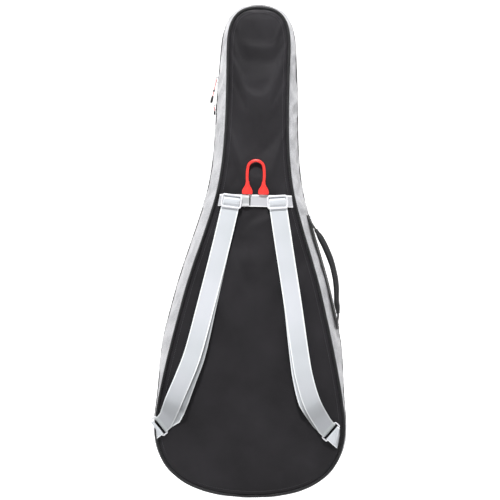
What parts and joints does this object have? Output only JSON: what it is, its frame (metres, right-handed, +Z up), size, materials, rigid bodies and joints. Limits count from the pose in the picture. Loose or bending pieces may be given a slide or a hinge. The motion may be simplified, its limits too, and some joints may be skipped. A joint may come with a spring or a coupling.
{
  "type": "padded gig bag",
  "caption": "Soft padded carry bag for a guitar, pear shaped, hanging by its loop, with shoulder straps, side handle and a zippered lid hinged on one side.",
  "frame": {"origin": "under the arch of the hang loop, where a peg carries the bag", "axes": "+Z up towards the head, +Y from the back panel with the straps into the bag, +X to the right seen from behind, towards the side handle"},
  "size_m": [0.4127, 0.1907, 1.0434],
  "materials": {
    "black_nylon": "woven nylon with a faint sheen",
    "gray_heather": "melange woven polyester",
    "black_trim": "ribbed binding and webbing",
    "foam": "closed-cell foam sheet",
    "lining": "brushed nylon lining",
    "silver_webbing": "satin seat-belt webbing",
    "coral_cord": "matt coral cord and leaves",
    "gray_plastic": "satin moulded",
    "black_plastic": "satin moulded",
    "zip_coil": "nylon coil",
    "zip_metal": "dark plated",
    "cradle_plush": "plush over foam"
  },
  "bodies": {
    "back_half": {"back_panel_fabric": "black_nylon", "back_panel_foam": "foam", "back_panel_lining": "lining", "back_piping": "black_trim", "back_side_fabric": "gray_heather", "back_side_foam": "foam", "back_side_lining": "lining", "endpin_patch": "black_nylon", "handle_base_strip": "black_trim", "neck_cradle": "cradle_plush", "spine_fabric": "black_trim", "strap_bar": "silver_webbing", "strap_tab_left": "silver_webbing", "strap_tab_right": "silver_webbing", "zip_coil_back": "zip_coil", "zip_tape_back": "black_trim"},
    "lid": {"front_panel_fabric": "black_nylon", "front_panel_foam": "foam", "front_panel_lining": "lining", "front_piping": "black_trim", "front_side_fabric": "gray_heather", "front_side_foam": "foam", "front_side_lining": "lining", "head_pocket_panel": "gray_heather", "head_pocket_wall": "gray_heather", "head_pocket_zip": "zip_coil", "large_pocket_panel": "gray_heather", "large_pocket_wall": "gray_heather", "large_pocket_zip": "zip_coil", "zip_coil_front": "zip_coil", "zip_tape_front": "black_trim"},
    "upper_zip_slider": {"upper_zip_slider": "zip_metal"},
    "upper_zip_pull": {"upper_zip_pull_cord": "coral_cord", "upper_zip_pull_grip": "black_plastic"},
    "lower_zip_slider": {"lower_zip_slider": "zip_metal"},
    "lower_zip_pull": {"lower_zip_pull_cord": "coral_cord", "lower_zip_pull_grip": "black_plastic"},
    "large_pocket_slider": {"large_pocket_slider": "zip_metal"},
    "large_pocket_pull": {"large_pocket_pull_cord": "coral_cord", "large_pocket_pull_grip": "black_plastic"},
    "head_pocket_slider": {"head_pocket_slider": "zip_metal"},
    "head_pocket_pull": {"head_pocket_pull_cord": "coral_cord", "head_pocket_pull_grip": "black_plastic"},
    "strap_left": {"shoulder_strap_left": "silver_webbing", "strap_tail_left": "silver_webbing"},
    "triglide_left": {"triglide_left": "gray_plastic"},
    "strap_ring_left": {"strap_ring_left": "gray_plastic"},
    "strap_right": {"shoulder_strap_right": "silver_webbing", "strap_tail_right": "silver_webbing"},
    "triglide_right": {"triglide_right": "gray_plastic"},
    "strap_ring_right": {"strap_ring_right": "gray_plastic"},
    "hang_loop": {"hang_loop_cord": "coral_cord", "hang_loop_leaf_left": "coral_cord", "hang_loop_leaf_right": "coral_cord"},
    "handle": {"handle_grip": "black_trim", "handle_end_upper": "black_trim", "handle_end_lower": "black_trim"},
    "neck_strap": {"neck_strap": "black_trim"}
  },
  "joints": [
    {"name": "lid_hinge", "type": "hinge", "parent": "back_half", "child": "lid", "pos_m": [-0.205, 0.0911, -0.706], "axis": [0, 0, 1], "range_deg": [0, 170], "deforming": ["spine_fabric"]},
    {"name": "upper_zip_slide", "type": "slide", "parent": "back_half", "child": "upper_zip_slider", "axis": [0.049, 0, 0.9988], "range_m": [0, 0.05]},
    {"name": "upper_zip_pull_swing", "type": "hinge", "parent": "upper_zip_slider", "child": "upper_zip_pull", "pos_m": [-0.08644, 0.0911, 0.17724], "axis": [0, 1, 0], "range_deg": [-2, 95]},
    {"name": "lower_zip_slide", "type": "slide", "parent": "back_half", "child": "lower_zip_slider", "axis": [0.049, 0, 0.9988], "range_m": [-0.026, 0]},
    {"name": "lower_zip_pull_swing", "type": "hinge", "parent": "lower_zip_slider", "child": "lower_zip_pull", "pos_m": [-0.08934, 0.0911, 0.11824], "axis": [0, 1, 0], "range_deg": [-2, 95]},
    {"name": "large_pocket_slide", "type": "slide", "parent": "lid", "child": "large_pocket_slider", "axis": [1, 0, 0], "range_m": [-0.04, 0.15]},
    {"name": "large_pocket_pull_swing", "type": "hinge", "parent": "large_pocket_slider", "child": "large_pocket_pull", "pos_m": [-0.06491, 0.17945, -0.285], "axis": [1, 0, 0], "range_deg": [-4, 95]},
    {"name": "head_pocket_slide", "type": "slide", "parent": "lid", "child": "head_pocket_slider", "axis": [1, 0, 0], "range_m": [-0.012, 0.06]},
    {"name": "head_pocket_pull_swing", "type": "hinge", "parent": "head_pocket_slider", "child": "head_pocket_pull", "pos_m": [-0.02654, 0.16773, 0.205], "axis": [1, 0, 0], "range_deg": [-4, 95]},
    {"name": "strap_left_swing", "type": "hinge", "parent": "back_half", "child": "strap_left", "pos_m": [-0.06853, -0.00148, -0.0655], "axis": [-0.2629, 0.0112, -0.9648], "range_deg": [0, 70], "deforming": ["shoulder_strap_left", "strap_tail_left"]},
    {"name": "triglide_left_slide", "type": "slide", "parent": "strap_left", "child": "triglide_left", "axis": [-0.2047, 0.0022, -0.9788], "range_m": [0, 0.04]},
    {"name": "strap_ring_left_swing", "type": "hinge", "parent": "back_half", "child": "strap_ring_left", "pos_m": [-0.19485, 0.004, -0.56084], "axis": [0.6428, 0, -0.766], "range_deg": [-6, 60]},
    {"name": "strap_right_swing", "type": "hinge", "parent": "back_half", "child": "strap_right", "pos_m": [0.06629, -0.0017, -0.06631], "axis": [-0.226, -0.0093, 0.9741], "range_deg": [0, 70], "deforming": ["shoulder_strap_right", "strap_tail_right"]},
    {"name": "triglide_right_slide", "type": "slide", "parent": "strap_right", "child": "triglide_right", "axis": [0.1676, 0, -0.9859], "range_m": [0, 0.04]},
    {"name": "strap_ring_right_swing", "type": "hinge", "parent": "back_half", "child": "strap_ring_right", "pos_m": [0.17415, 0.00286, -0.56464], "axis": [0.6428, 0, 0.766], "range_deg": [-6, 60]},
    {"name": "hang_loop_fold", "type": "hinge", "parent": "back_half", "child": "hang_loop", "pos_m": [0, 0, -0.0674], "axis": [1, 0, 0], "range_deg": [0, 100], "stiffness_Nm_per_rad": 0.05},
    {"name": "handle_swing", "type": "hinge", "parent": "back_half", "child": "handle", "pos_m": [0.11497, 0.04728, -0.11056], "axis": [-0.2763, 0, 0.9611], "range_deg": [-30, 18], "deforming": ["handle_end_upper", "handle_end_lower"]},
    {"name": "neck_strap_lift", "type": "hinge", "parent": "back_half", "child": "neck_strap", "pos_m": [-0.05, 0.0527, 0.099], "axis": [0, 0, 1], "range_deg": [0, 30]}
  ]
}
